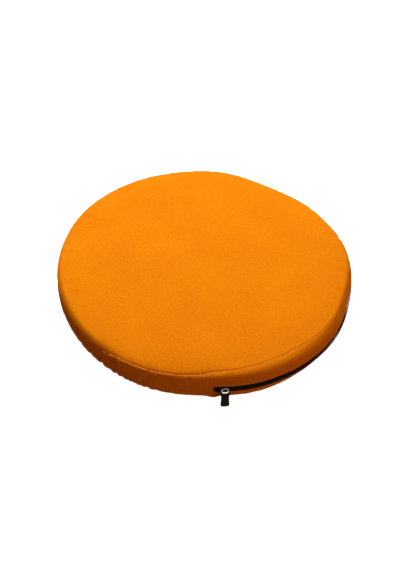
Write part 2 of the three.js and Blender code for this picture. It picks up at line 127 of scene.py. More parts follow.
Seam = namedtuple("Seam", "azimuth inset height fullness roll belly foot_inset foot_height zip_drop")
SEAMS = [
    Seam(-150, 0.0030, 0.0344, 1.7, 0.0080, 0.0002, 0.0096, 0.0024, 0.0000),
    Seam(-90, 0.0020, 0.0342, 1.3, 0.0072, 0.0002, 0.0110, 0.0030, 0.0000),
    Seam(-66, 0.0020, 0.0340, 1.3, 0.0072, 0.0002, 0.0110, 0.0030, 0.0000),
    Seam(-47, 0.0026, 0.0342, 1.3, 0.0074, 0.0008, 0.0110, 0.0030, 0.0000),
    Seam(-38, 0.0036, 0.0362, 1.3, 0.0084, 0.0016, 0.0108, 0.0030, 0.0000),
    Seam(-30, 0.0062, 0.0388, 1.4, 0.0120, 0.0024, 0.0106, 0.0030, 0.0000),
    Seam(-18, 0.0084, 0.0395, 1.4, 0.0130, 0.0036, 0.0104, 0.0030, 0.0000),
    Seam(-8, 0.0093, 0.0400, 1.4, 0.0130, 0.0042, 0.0102, 0.0030, 0.0000),
    Seam(0, 0.0120, 0.0405, 1.4, 0.0120, 0.0046, 0.0100, 0.0030, 0.0010),
    Seam(6, 0.0150, 0.0416, 1.5, 0.0110, 0.0048, 0.0100, 0.0030, 0.0016),
    Seam(12, 0.0162, 0.0428, 1.5, 0.0110, 0.0048, 0.0094, 0.0030, 0.0018),
    Seam(28, 0.0188, 0.0434, 1.2, 0.0120, 0.0042, 0.0096, 0.0032, 0.0018),
    Seam(38, 0.0168, 0.0434, 1.0, 0.0130, 0.0014, 0.0108, 0.0034, 0.0020),
    Seam(50, 0.0128, 0.0428, 1.0, 0.0130, -0.0010, 0.0128, 0.0038, 0.0018),
    Seam(66, 0.0104, 0.0422, 1.0, 0.0130, -0.0012, 0.0130, 0.0034, 0.0016),
    Seam(84, 0.0098, 0.0420, 1.2, 0.0130, -0.0002, 0.0112, 0.0030, 0.0012),
    Seam(98, 0.0066, 0.0406, 1.6, 0.0120, 0.0003, 0.0096, 0.0026, 0.0008),
    Seam(120, 0.0050, 0.0384, 1.8, 0.0100, 0.0003, 0.0096, 0.0024, 0.0000),
    Seam(160, 0.0042, 0.0368, 1.8, 0.0090, 0.0003, 0.0096, 0.0024, 0.0000),
]


def outline_radius(azimuth):
    waves = [w.height * np.cos(np.radians(w.waves * (azimuth - w.peak))) for w in OUTLINE_WAVES]
    return RADIUS + sum(waves)


def smooth_column(column):
    """A closed curve round the rim through one column of the seam table, without overshoot."""
    at = np.array([row.azimuth for row in SEAMS], float)
    value = np.array([getattr(row, column) for row in SEAMS])
    knots = np.concatenate([at[-2:] - 360, at, at[:3] + 360])
    value = np.concatenate([value[-2:], value, value[:3]])
    slope = np.diff(value) / np.diff(knots)
    product = np.maximum(slope[:-1] * slope[1:], 0)
    total = slope[:-1] + slope[1:]
    tangent = np.divide(2 * product, total, out=np.zeros_like(product), where=product > 0)

    def curve(azimuth):
        turned = (np.asarray(azimuth, float) - knots[2]) % 360 + knots[2]
        i = np.clip(np.searchsorted(knots, turned, side="right") - 1, 1, len(knots) - 3)
        span = knots[i + 1] - knots[i]
        x = (turned - knots[i]) / span
        start = (2 * x**3 - 3 * x**2 + 1) * value[i] + (x**3 - 2 * x**2 + x) * tangent[i - 1] * span
        end = (3 * x**2 - 2 * x**3) * value[i + 1] + (x**3 - x**2) * tangent[i] * span
        return start + end

    return curve


seam_inset, seam_height, fullness, roll, belly, foot_inset, foot_height, zip_drop = (
    smooth_column(name) for name in Seam._fields[1:]
)


def on_rim(azimuth, inset, height):
    """Points at an azimuth, some inset from the outline, at a height."""
    angle = np.radians(azimuth)
    radius = outline_radius(azimuth) - inset
    return np.stack(np.broadcast_arrays(radius * np.sin(angle), -radius * np.cos(angle), height), -1)


print(f"the top seam runs {1000 * seam_height(-90):.1f} mm up on the left")
print(f"and {1000 * seam_height(30):.1f} mm up at the zip")

# %% [markdown]
# A sewn surface is easiest to build as a grid of rows and columns, because seams, folds and gathers
# follow its rows. These helpers turn such grids into meshes. Each mesh also gets two records on its
# points: where the point lies on the flat cloth, which the weave follows, and its painted highlight.

# %% Mesh helpers
def shade_smooth(mesh):
    mesh.polygons.foreach_set("use_smooth", [True] * len(mesh.polygons))


def new_piece(name, points, faces, cloth=None, worn=None):
    mesh = bpy.data.meshes.new(name)
    mesh.from_pydata([tuple(p) for p in points], [], faces)
    mesh.update()
    shade_smooth(mesh)
    if cloth is not None:
        mesh.attributes.new("cloth", "FLOAT_VECTOR", "POINT").data.foreach_set("vector", np.ravel(cloth))
    if worn is not None:
        mesh.attributes.new("worn", "FLOAT", "POINT").data.foreach_set("value", np.ravel(worn))
    piece = bpy.data.objects.new(name, mesh)
    scene.collection.objects.link(piece)
    return piece


def grid_faces(rows, columns, start=0, closed=False):
    """The quads of a grid of points that is stored row by row."""
    faces = []
    for r in range(rows - 1):
        for c in range(columns if closed else columns - 1):
            beside = (c + 1) % columns
            here, below = start + r * columns, start + (r + 1) * columns
            faces.append((here + c, below + c, below + beside, here + beside))
    return faces


def capped_strip(name, loops, cloth, worn=None):
    """A closed strip of loops, one per column, each down the face and back up behind it."""
    count = np.shape(loops)[1]
    faces = grid_faces(len(loops), count, closed=True)
    last = (len(loops) - 1) * count
    for i in range(count // 2 - 1):
        quad = (i, i + 1, count - 2 - i, count - 1 - i)
        faces += [quad, tuple(last + j for j in quad[::-1])]
    piece = new_piece(name, np.reshape(loops, (-1, 3)), faces, cloth, worn)
    face_out(piece)
    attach(piece, "root")
    return piece


def face_out(piece):
    """Turns a closed mesh's faces outward."""
    form = bmesh.new()
    form.from_mesh(piece.data)
    bmesh.ops.recalc_face_normals(form, faces=form.faces)
    form.to_mesh(piece.data)
    form.free()


def freeze(piece):
    """Applies every modifier."""
    evaluated = piece.evaluated_get(bpy.context.evaluated_depsgraph_get())
    mesh = bpy.data.meshes.new_from_object(evaluated)
    piece.modifiers.clear()
    piece.data = mesh
    shade_smooth(mesh)
    return mesh


def wobble(points, size, height, seed):
    """Soft, even unevenness: so much up and down over so wide a stretch, the same in each run."""
    shift = Vector((seed, 2 * seed, 3 * seed))
    flat = np.reshape(points, (-1, 3))
    values = [noise.noise(Vector(p) / size + shift) for p in flat]
    return height * np.reshape(values, np.shape(points)[:-1])


# %% [markdown]
# The band is gathered where it was sewn to the panels. Deep creases run from seam to foot, and small
# puckers fade out a few millimetres from the seam. Those that the photograph shows are listed one by
# one, each in its own size. Out of sight the same kind of puckers go on, drawn from a seeded list.

# %% Creases and puckers
Crease = namedtuple("Crease", "azimuth lean width seam_depth foot_depth")
CREASES = [
    Crease(-63.5, -1.5, 0.7, 0.0005, 0.0002),
    Crease(-51.0, 1.0, 0.9, 0.0014, 0.0005),
    Crease(-44.3, 0.4, 0.8, 0.0014, 0.0006),
    Crease(-37.7, -0.6, 0.8, 0.0022, 0.0012),
    Crease(-31.0, 0.0, 0.6, 0.0017, 0.0013),
    Crease(-26.6, 0.8, 0.45, 0.0009, 0.0013),
    Crease(-21.6, -1.6, 0.45, 0.0003, 0.0012),
    Crease(-18.0, 0.0, 0.45, 0.0015, 0.0008),
    Crease(-3.0, 0.4, 0.5, 0.0009, 0.0001),
    Crease(1.2, 0.6, 0.45, 0.0008, 0.0001),
]
CREASE_DIP = 0.3  # share of a crease's depth by which it dips the seam itself
CREASE_FADE = 4
SHOULDER = 0.35  # how high the cloth stands up beside a crease, as a share of its depth

Pucker = namedtuple("Pucker", "azimuth width depth reach")
TOP_PUCKERS = [
    Pucker(-34.6, 0.6, 0.0005, 0.007),
    Pucker(-28.8, 0.6, 0.0007, 0.005),
    Pucker(-24.4, 0.7, 0.0006, 0.008),
    Pucker(-15.2, 0.6, 0.0004, 0.004),
    Pucker(-12.6, 0.5, 0.0004, 0.005),
    Pucker(-8.0, 0.7, 0.0008, 0.006),
    Pucker(-5.4, 0.5, 0.0005, 0.005),
    Pucker(-0.6, 0.5, 0.0007, 0.009),
    Pucker(2.6, 0.5, 0.0006, 0.011),
    Pucker(9.0, 0.8, 0.0003, 0.007),
    Pucker(14.4, 1.4, 0.0005, 0.010),
    Pucker(17.2, 1.1, 0.0004, 0.008),
    Pucker(23.0, 1.8, 0.0003, 0.008),
    Pucker(33.0, 1.5, 0.0003, 0.007),
    Pucker(43.0, 1.2, 0.0003, 0.006),
    Pucker(55.0, 1.4, 0.0003, 0.008),
]
FOOT_PUCKERS = [
    Pucker(-56.0, 1.0, 0.0002, 0.008),
    Pucker(-43.5, 0.7, 0.0003, 0.010),
    Pucker(-34.0, 0.8, 0.0012, 0.009),
    Pucker(-28.5, 0.7, 0.0009, 0.008),
    Pucker(-24.2, 0.7, 0.0012, 0.011),
    Pucker(-18.6, 0.6, 0.0009, 0.009),
    Pucker(-14.8, 0.8, 0.0007, 0.008),
    Pucker(-9.5, 1.0, 0.0004, 0.006),
    Pucker(21.0, 1.4, 0.0003, 0.006),
    Pucker(40.0, 1.6, 0.0004, 0.006),
]
HIDDEN_FROM, HIDDEN_TO = 62, 292  # azimuths that the photograph doesn't show
HIDDEN_STEP = 4.6  # degrees between puckers there, on average
chance = np.random.default_rng(7)


def hidden_puckers():
    row, azimuth = [], HIDDEN_FROM
    while azimuth < HIDDEN_TO:
        azimuth += HIDDEN_STEP * chance.uniform(0.5, 1.6)
        width, depth, reach = chance.uniform((0.6, 0.0002, 0.004), (1.5, 0.0010, 0.014))
        row.append(Pucker(azimuth, width, depth, reach))
    return row


TOP_PUCKERS += hidden_puckers()
FOOT_PUCKERS += hidden_puckers()


def turned(azimuth, to):
    """Degrees from one azimuth to another, from -180 to 180."""
    return (np.asarray(azimuth) - to + 180) % 360 - 180


def fold_form(away):
    """A crease's section: a trough, and the cloth standing up on either side."""
    return np.exp(-(away**2)) - SHOULDER * (np.exp(-((away - 2) ** 2)) + np.exp(-((away + 2) ** 2)))


def crease_depth(azimuth, level):
    down = (1 - level) / 2
    depth = 0
    for c in CREASES:
        here = c.seam_depth + (c.foot_depth - c.seam_depth) * down
        depth = depth + here * fold_form(turned(azimuth, c.azimuth + c.lean * down) / c.width)
    return depth


def pucker_depth(puckers, azimuth, distance):
    """How deep the puckers are at an azimuth, at a distance from the seam that gathers them."""
    depth = 0
    for p in puckers:
        away = turned(azimuth, p.azimuth) / p.width
        depth = depth + p.depth * fold_form(away) * np.exp(-((distance / p.reach) ** 2))
    return depth


print(len(CREASES), "creases,", len(TOP_PUCKERS) + len(FOOT_PUCKERS), "puckers")

# %% [markdown]
# In section the band is a squarish bulge from the top seam, out over the widest place and back in to
# the foot seam. The rows of the mesh have to lie at even distances along the cloth, and closer at
# its edges, where the cloth turns in. So each column walks down the bulge and marks off distances.

# %% The band's section
WALK_STEPS = 160
EDGE_ROWS = np.array([0, 0.15, 0.4, 0.7, 1.0, 1.35, 1.8, 2.4, 3.2, 4.2]) * 0.001  # from an edge inward


SQUARE_AT = (-180, -2, 12, 30, 38, 50, 70, 90, 150)
SQUARE_ABOVE = (2.6, 2.6, 2.3, 2.15, 2.0, 1.5, 1.15, 1.4, 2.6)
SQUARE_BELOW = (2.6, 2.6, 2.6, 2.6, 2.1, 1.3, 1.2, 1.6, 2.6)


def squareness(azimuth, upper):
    """Of the band's bulge: 2 is an ellipse, more is squarer. On the right the foot is tucked under."""
    at = turned(azimuth, 0)
    return np.where(upper, np.interp(at, SQUARE_AT, SQUARE_ABOVE), np.interp(at, SQUARE_AT, SQUARE_BELOW))


def widest(azimuth):
    """Height of the band's widest place."""
    return ZIP_HEIGHT - np.interp(turned(azimuth, 0), (20, 50, 75, 95), (0, 0.0025, 0.0025, 0))


def bulge(azimuth, level):
    """Inset, height and outward normal of the band's bare form. Level 1 is the top seam, -1 the foot."""
    azimuth, level = np.broadcast_arrays(azimuth, level)
    upper = level >= 0
    square = squareness(azimuth, upper)
    across = np.where(upper, seam_inset(azimuth), foot_inset(azimuth)) - belly(azimuth)
    rise = np.abs(np.where(upper, seam_height(azimuth), foot_height(azimuth)) - widest(azimuth))
    cosine = np.maximum(np.cos(np.abs(level) * np.pi / 2), 0)
    sine = np.sin(np.abs(level) * np.pi / 2)
    side = np.where(upper, 1, -1)
    inset = belly(azimuth) + across * (1 - cosine ** (2 / square))
    height = widest(azimuth) + side * rise * sine ** (2 / square)
    out = cosine ** (2 - 2 / square) / across
    up = sine ** (2 - 2 / square) / rise
    length = np.hypot(out, up)
    return inset, height, out / length, side * up / length


def walk(azimuth):
    """The levels down the band at one azimuth, and the distance along the cloth to each."""
    level = np.linspace(1, -1, WALK_STEPS + 1)
    inset, height, _, _ = bulge(azimuth, level)
    steps = np.hypot(np.diff(inset), np.diff(height))
    return level, np.concatenate([[0], np.cumsum(steps)])


def rows_between(width, inner_rows):
    """Distances across a width of cloth, closer together at its two edges."""
    inner = np.linspace(EDGE_ROWS[-1], width - EDGE_ROWS[-1], inner_rows + 2)[1:-1]
    return np.concatenate([EDGE_ROWS, inner, width - EDGE_ROWS[::-1]])


def to_height(azimuth, height):
    """The distance down the cloth at which the band comes to a height."""
    level, distance = walk(azimuth)
    _, heights, _, _ = bulge(azimuth, level)
    return float(np.interp(-height, -heights, distance))


print(f"the band is {1000 * walk(-20)[1][-1]:.1f} mm wide at the front")
print(f"and {1000 * walk(30)[1][-1]:.1f} mm wide at the zip")

# %% [markdown]
# A length of band is a closed form as thick as the doubled canvas. Its edges are round, because the
# cloth is folded there, and the seam allowance inside lifts the cloth into a low ridge beside each
# seam. The stitching of a folded edge draws a narrow channel. All of that is one number at each
# point: how far it stands out from the bare bulge.

# %% Make a length of band
RIDGE = 0.0004  # height of the ridge that a seam allowance lifts
RIDGE_AT = 0.0010  # its distance from the seam
RIDGE_WIDTH = 0.0006
GATHER = 0.0028  # length of the small gathers in the ridge
END_ROUNDING = 0.00025  # of the cloth at an upright seam
FOOT_BUMP = 0.0028  # of the foot at the upright seam
UPRIGHT_LEAN = 0.9  # degrees by which the upright seam beside the pull leans at its top
CHANNEL = 0.0003  # depth of a row of stitching
CHANNEL_AT = 0.0032  # its distance from a folded edge
CHANNEL_WIDTH = 0.0007
PUFF = 0.0003  # how far a folded edge puffs up outside its stitching
FOLD_HIGHLIGHT = 0.6  # how strongly a highlight is painted on the upper strip's folded edge
RUN = RADIUS * math.pi / 180  # length of one degree of the rim


def hump(distance, at, width):
    return np.exp(-(((distance - at) / width) ** 2))


def round_off(distance, radius=CLOTH / 2):
    """How far a rounded edge falls back, near the edge."""
    left = np.clip(1 - distance / radius, 0, 1)
    return radius * (1 - np.sqrt(1 - left**2))


def ridge_share(azimuth):
    """How far the seam's ridge stands out, and how much highlight is painted on it: most at the front,
    where the band is gathered hard.
    """
    share = np.interp(turned(azimuth, 0), (-34, -30, 3, 8, 60, 100), (0, 1, 1, 0.3, 0.15, 0.05))
    return share * max(1 + 1.8 * noise.noise(Vector((azimuth * RUN / GATHER, 0, 0))), 0)


def foot_bump(azimuth):
    """The seam allowance of the upright seam pushes the foot of the band out."""
    away = azimuth - ZIP_START - 0.5
    return FOOT_BUMP * np.exp(-((away / (1.7 if away > 0 else 2.6)) ** 2))


def seam_relief(distance, azimuth):
    return RIDGE * ridge_share(azimuth) * hump(distance, RIDGE_AT, RIDGE_WIDTH) - round_off(distance)


def fold_relief(distance, azimuth):
    puffed = PUFF * hump(distance, CHANNEL_AT / 2, CHANNEL_AT / 3)
    return puffed - CHANNEL * hump(distance, CHANNEL_AT, CHANNEL_WIDTH) - round_off(distance)


def band_length(name, azimuths, edges, top_edge, foot_edge, inner_rows, seed, upright_ridge):
    """A strip of band between two edges, given as distances down the cloth at each azimuth."""
    outer, inner, cloth, worn, widths = [], [], [], [], []
    ends = (azimuths[0], azimuths[-1])
    for azimuth in azimuths:
        levels, distances = walk(azimuth)
        start, stop = edges(azimuth, distances[-1])
        across = rows_between(stop - start, inner_rows)
        widths.append(stop - start)
        down = start + across
        level = np.interp(down, distances, levels)
        bent = azimuth - UPRIGHT_LEAN * np.clip(level, 0, 1) * hump(azimuth, ZIP_START, 4)
        inset, height, out, up = bulge(bent, level)
        from_foot = distances[-1] - down
        from_end = min(abs(azimuth - ends[0]), abs(azimuth - ends[1])) * RUN
        crease = crease_depth(azimuth, level) * (1 - (1 - CREASE_DIP) * np.abs(level) ** CREASE_FADE)
        gathered = pucker_depth(TOP_PUCKERS, azimuth, down)
        gathered = gathered + pucker_depth(FOOT_PUCKERS, azimuth, from_foot)
        relief = top_edge(across, azimuth) + foot_edge(across[-1] - across, azimuth) - crease - gathered
        relief = relief + foot_bump(azimuth) * np.clip(-level, 0, 1) ** 1.5
        end_ridge = upright_ridge * hump(from_end, RIDGE_AT, RIDGE_WIDTH)
        end_relief = RIDGE * end_ridge - round_off(from_end, END_ROUNDING)
        plain = on_rim(bent, inset, height)
        relief = relief + end_relief + wobble(plain, 0.018, 0.0002, seed)
        back = CLOTH - np.maximum(round_off(across), round_off(across[-1] - across))
        back = back - round_off(from_end, END_ROUNDING)
        back = np.maximum(back, -relief + 0.0001)
        outer.append(on_rim(bent, inset - out * relief, height + up * relief))
        inner.append(on_rim(bent, inset + out * back, height - up * back))
        cloth.append(np.stack([np.full_like(down, azimuth * RUN), down, 0 * down], -1))
        # Painted highlight: the seam's ridge, the upper strip's folded edge and the ridge of an upright
        # seam are painted paler, as if lit.
        ridge = ridge_share(azimuth) * hump(across, RIDGE_AT, RIDGE_WIDTH)
        fold = FOLD_HIGHLIGHT * hump(across[-1] - across, 0.0006, 0.0006) * (top_edge is seam_relief)
        fold = fold * (foot_edge is fold_relief)
        worn.append(np.clip(ridge + fold + end_ridge, 0, 1))
    loops = np.concatenate([outer, np.array(inner)[:, ::-1]], 1)
    flat = np.concatenate([cloth, np.array(cloth)[:, ::-1]], 1)
    painted_light = np.concatenate([worn, np.array(worn)[:, ::-1]], 1)
    return capped_strip(name, loops, flat, painted_light)


# %% [markdown]
# The plain length of band goes round the front left and the back. Its columns stand a third of a
# degree apart, which is about a millimetre, so that the narrow creases come out soft. Just before
# each upright seam the columns close up, because the cloth turns in there too.

# %% Plain length of the side band
SEAM_HALF = 0.045  # degrees from the middle of an upright seam to the cloth on either side
COLUMN_STEP = 0.32


def columns_between(start, stop):
    near = EDGE_ROWS / RUN
    count = int(round((stop - start - 2 * near[-1]) / COLUMN_STEP))
    inner = np.linspace(start + near[-1], stop - near[-1], count + 2)[1:-1]
    return np.concatenate([start + near, inner, stop - near[::-1]])


def whole_width(azimuth, width):
    return 0, width


plain_columns = columns_between(ZIP_END - 360 + SEAM_HALF, ZIP_START - SEAM_HALF)
side_band = band_length(
    "side_band", plain_columns, whole_width, seam_relief, seam_relief, 14, seed=3, upright_ridge=1
)
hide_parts("side_band_plain")
print("side band:", len(side_band.data.polygons), "faces")

# %% [markdown]
# The two strips beside the zip are folded under along it. At either end of the zip their folds come
# together in a rounded mouth, against the upright seam.

# %% Strips beside the zip
MOUTH = 1.3  # degrees over which the folds come together at an end of the zip


def half_opening(azimuth):
    from_end = min(azimuth - ZIP_START, ZIP_END - azimuth)
    share = min(max(1 - from_end / MOUTH, 0), 1)
    return ZIP_OPENING / 2 * math.sqrt(max(1 - share**2, 0))


def zip_middle(azimuth):
    return ZIP_HEIGHT - zip_drop(azimuth)


def above_zip(azimuth, width):
    return 0, to_height(azimuth, zip_middle(azimuth) + half_opening(azimuth) + SEAM_HALF * RUN)


def below_zip(azimuth, width):
    return to_height(azimuth, zip_middle(azimuth) - half_opening(azimuth) - SEAM_HALF * RUN), width


strip_columns = columns_between(ZIP_START + SEAM_HALF, ZIP_END - SEAM_HALF)
upper_strip = band_length(
    "zip_strip_above", strip_columns, above_zip, seam_relief, fold_relief, 7, seed=5, upright_ridge=0
)
lower_strip = band_length(
    "zip_strip_below", strip_columns, below_zip, fold_relief, seam_relief, 5, seed=9, upright_ridge=0
)
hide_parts("zip_strip_upper")
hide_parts("zip_strip_lower")
print("strips:", len(upper_strip.data.polygons) + len(lower_strip.data.polygons), "faces")

# %% [markdown]
# Behind the strips lie the two woven tapes of the zip, edge to edge. Their edges are thinner than
# their middle, as on a real tape.

# %% Zip tapes
TAPE_DEPTH = CLOTH + CLEARANCE  # from the face of the strips to that of the tapes
TAPE_MARGIN = 0.5  # degrees from an upright seam to the ends of the zip
TAPE_ROWS = 12
tape_columns = np.arange(ZIP_START + TAPE_MARGIN, ZIP_END - TAPE_MARGIN, 0.8)


def band_spot(azimuth, above, depth):
    """A point under the band's bare form, so far above the middle of the zip."""
    above = zip_middle(azimuth) + above - widest(azimuth)
    upper = above >= 0
    rise = np.abs(np.where(upper, seam_height(azimuth), foot_height(azimuth)) - widest(azimuth))
    share = (np.abs(above) / rise) ** (squareness(azimuth, upper) / 2)
    inset, height, out, up = bulge(azimuth, np.sign(above) * np.arcsin(share) * 2 / np.pi)
    return on_rim(azimuth, inset + out * depth, height - up * depth)


def zip_tape(name, side):
    across = np.linspace(CLEARANCE / 2, TAPE_WIDTH, TAPE_ROWS)
    middle_share = np.clip(np.minimum(across - across[0], across[-1] - across) / TAPE, 0, 1)
    half = TAPE / 2 * (0.4 + 0.6 * middle_share)
    loops, cloth = [], []
    for azimuth in tape_columns:
        here = np.full(TAPE_ROWS, azimuth)
        face = band_spot(here, side * across, TAPE_DEPTH + TAPE / 2 - half)
        back = band_spot(here, side * across, TAPE_DEPTH + TAPE / 2 + half)
        flat = np.stack([here * RUN, across, 0 * across], -1)
        loops.append(np.concatenate([face, back[::-1]]))
        cloth.append(np.concatenate([flat, flat[::-1]]))
    piece = capped_strip(name, loops, cloth)
    return piece


upper_tape = zip_tape("tape_above", 1)
lower_tape = zip_tape("tape_below", -1)
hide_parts("zip_tape_upper")
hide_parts("zip_tape_lower")
print("tapes:", len(upper_tape.data.polygons) + len(lower_tape.data.polygons), "faces")

# %% [markdown]
# A nylon zip is two coils of thread that lock turn by turn. Each turn comes up out of its tape, lies
# across the middle and hooks down again. The two coils are half a pitch apart. The same small tubes
# also make the stitches that hold the folded strips down on the tapes.

# %% Coils and stitches
TUBE_SIDES = 6
COIL_PITCH = 0.00127
COIL_THREAD = 0.00029  # radius
TURN = np.array([  # how far each point of a turn is above the middle, and under the strips' face
    (0.00255, 0.00150),
    (0.00256, 0.00060),
    (0.00225, 0.00016),
    (0.00120, 0.00009),
    (0.00010, 0.00010),
    (-0.00045, 0.00026),
    (-0.00055, 0.00080),
])
STITCH_PITCH = 0.0031
STITCH_LENGTH = 0.0026
STITCH_THREAD = 0.00019
STITCH_LIE = np.array([0.00055, 0.00022, 0.00012, 0.00022, 0.00055])  # under the strips' face


def tubes(name, paths, radius):
    """One mesh of many short threads with round ends. Each path is a row of points."""
    count, stations, _ = paths.shape
    outward = paths[:, :1] * (1, 1, 0)
    outward = outward / np.linalg.norm(outward, axis=2, keepdims=True)
    tangent = np.gradient(paths, axis=1)
    tangent = tangent / np.linalg.norm(tangent, axis=2, keepdims=True)
    sideways = np.cross(tangent, outward + 0.35 * np.array((0, 0, 1.0)))
    sideways = sideways / np.linalg.norm(sideways, axis=2, keepdims=True)
    upward = np.cross(sideways, tangent)
    swell = np.full(stations, radius)
    swell[0] = swell[-1] = 0.55 * radius
    angle = np.arange(TUBE_SIDES) * 2 * np.pi / TUBE_SIDES
    ring = np.cos(angle)[:, None] * upward[:, :, None] + np.sin(angle)[:, None] * sideways[:, :, None]
    points = (paths[:, :, None] + swell[:, None, None] * ring).reshape(-1, 3)
    faces = []
    for i in range(count):
        start = i * stations * TUBE_SIDES
        end = start + (stations - 1) * TUBE_SIDES
        faces += grid_faces(stations, TUBE_SIDES, start, closed=True)
        faces += [tuple(range(start, start + TUBE_SIDES)), tuple(range(end, end + TUBE_SIDES))[::-1]]
    piece = new_piece(name, points, faces)
    face_out(piece)
    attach(piece, "root")
    return piece


def coil_paths(side, shift):
    turns = np.arange(tape_columns[0] + 0.3 + shift / RUN, tape_columns[-1] - 0.3, COIL_PITCH / RUN)
    rows = [band_spot(turns, np.full_like(turns, side * above), depth) for above, depth in TURN]
    return np.stack(rows, 1)


def stitch_paths(above):
    centres = np.arange(ZIP_START + 1.2, ZIP_END - 1.2, STITCH_PITCH / RUN)
    half = STITCH_LENGTH / 2 / RUN
    steps = np.linspace(-half, half, len(STITCH_LIE))
    rows = [band_spot(centres + s, np.full_like(centres, above), d) for s, d in zip(steps, STITCH_LIE)]
    return np.stack(rows, 1)


coils = tubes("coils", np.concatenate([coil_paths(1, 0), coil_paths(-1, COIL_PITCH / 2)]), COIL_THREAD)
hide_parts("zip_coil")
stitch_line = ZIP_OPENING / 2 + CHANNEL_AT
stitch_rows = np.concatenate([stitch_paths(stitch_line), stitch_paths(-stitch_line)])
stitches = tubes("stitches", stitch_rows, STITCH_THREAD)
print("coils:", len(coils.data.polygons), "faces; stitches:", len(stitches.data.polygons))

# %% [markdown]
# The slider, its pull tab and the eyelet are stamped metal. A plate is cut from a flat outline, with
# its edges rounded over, and the tab's lower half has a sunk panel. The pull hangs on the slider's
# hook and leans out by its foot.

# %% Slider, tab and eyelet
PULL_AZIMUTH = 9.6
SLIDER_SIZE = (0.0124, 0.0096, 0.0012)
SLIDER_CORNER = 0.0032
HOOK_WIDTH = 0.0048
HOOK_THICKNESS = 0.0013
LIP_THICKNESS = 0.0009
LIP_HEIGHT = 0.0030
EYELET_OPENING = (0.0070, 0.0040)
EYELET_RIM = 0.0013
EYELET_DEPTH = 0.0020
EYELET_RISE = 0.0032
PULL_LEAN = math.radians(17)
TAB_THICKNESS = 0.0016
TAB_HEAD = (0.0116, 0.0041)  # width, and height above the eyelet's middle
TAB_NECK = (0.0096, 0.0124)  # width, and drop below the eyelet's middle
TAB_TIP = (0.0108, 0.0200)
TAB_NECK_PULL = 0.006
TAB_ROUNDNESS = 0.7
PANEL_RIM = 0.0017  # of the tab, round its sunk panel
PANEL_SINK = 0.00035

EDGE = 0.0003  # radius of the rounded edges
MILLI = 1000  # the plates are cut in millimetres, where the fill of a curve is exact

eyelet_top = EYELET_OPENING[1] / 2 + EYELET_RIM
back_reach = (eyelet_top * math.sin(PULL_LEAN) + EYELET_DEPTH * math.cos(PULL_LEAN)) / 2
tab_out = SLIDER_SIZE[2] + CLEARANCE + back_reach + eyelet_top * math.sin(PULL_LEAN) / 2
pull_height = zip_middle(PULL_AZIMUTH)
foot_room = CLEARANCE + TAB_THICKNESS / 2 * math.sin(PULL_LEAN)
tab_foot = (pull_height + EYELET_RISE - foot_room) / math.cos(PULL_LEAN)
pull_spot = Vector(on_rim(PULL_AZIMUTH, belly(PULL_AZIMUTH) - COIL_PROUD - CLEARANCE, pull_height))
pull_frame = (
    Matrix.Translation(pull_spot)
    @ Matrix.Rotation(math.pi / 2, 4, "X")
    @ Matrix.Rotation(math.radians(PULL_AZIMUTH), 4, "Y")
)
tab_frame = pull_frame @ Matrix.Translation((0, EYELET_RISE, tab_out)) @ Matrix.Rotation(-PULL_LEAN, 4, "X")


def plate(name, loops, low, high, edge=EDGE):
    """A plate between two heights, cut to the first loop, with the other loops as holes."""
    curve = bpy.data.curves.new(name, "CURVE")
    curve.dimensions = "2D"
    curve.fill_mode = "BOTH"
    curve.extrude = MILLI * ((high - low) / 2 - edge)
    curve.bevel_depth = MILLI * edge
    curve.bevel_resolution = 2
    curve.offset = -MILLI * edge
    for loop in loops:
        spline = curve.splines.new("POLY")
        spline.points.add(len(loop) - 1)
        for point, (x, y) in zip(spline.points, loop):
            point.co = (MILLI * x, MILLI * y, 0, 1)
        spline.use_cyclic_u = True
    cut = bpy.data.objects.new(name, curve)
    scene.collection.objects.link(cut)
    mesh = bpy.data.meshes.new_from_object(cut.evaluated_get(bpy.context.evaluated_depsgraph_get()))
    bpy.data.objects.remove(cut)
    bpy.data.curves.remove(curve)
    mesh.transform(Matrix.Translation((0, 0, (high + low) / 2)) @ Matrix.Scale(1 / MILLI, 4))
    return mesh


def assembled(name, meshes, place, node):
    """One piece of several parts, welded, with flat faces flat and round edges round."""
    form = bmesh.new()
    for mesh in meshes:
        form.from_mesh(mesh)
    bmesh.ops.remove_doubles(form, verts=form.verts, dist=1e-6)
    bmesh.ops.recalc_face_normals(form, faces=form.faces)
    bmesh.ops.transform(form, matrix=place, verts=form.verts)
    mesh = bpy.data.meshes.new(name)
    form.to_mesh(mesh)
    form.free()
    shade_smooth(mesh)
    piece = bpy.data.objects.new(name, mesh)
    scene.collection.objects.link(piece)
    piece.modifiers.new("even", "WEIGHTED_NORMAL")
    freeze(piece)
    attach(piece, "root")
    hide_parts(node)
    return piece


def rounded_loop(width, height, corner, steps=8):
    loop = []
    for quarter in range(4):
        for step in range(steps + 1):
            angle = math.pi / 2 * (quarter + step / steps)
            sign_x = 1 if quarter in (0, 3) else -1
            sign_y = 1 if quarter < 2 else -1
            x = sign_x * (width / 2 - corner) + corner * math.cos(angle)
            loop.append((x, sign_y * (height / 2 - corner) + corner * math.sin(angle)))
    return loop


def oval_loop(width, height, steps=48):
    turns = [2 * math.pi * i / steps for i in range(steps)]
    return [(width / 2 * math.cos(t), height / 2 * math.sin(t)) for t in turns]


def curved_loop(start, arcs, steps=10):
    """A closed outline of Bezier arcs, each given as its two handles and its end."""
    loop, here = [], start
    for first, second, end in arcs:
        for i in range(steps):
            t = i / steps
            weights = ((1 - t) ** 3, 3 * t * (1 - t) ** 2, 3 * t**2 * (1 - t), t**3)
            ends = (here, first, second, end)
            loop.append(tuple(sum(w * p[axis] for w, p in zip(weights, ends)) for axis in (0, 1)))
        here = end
    return loop


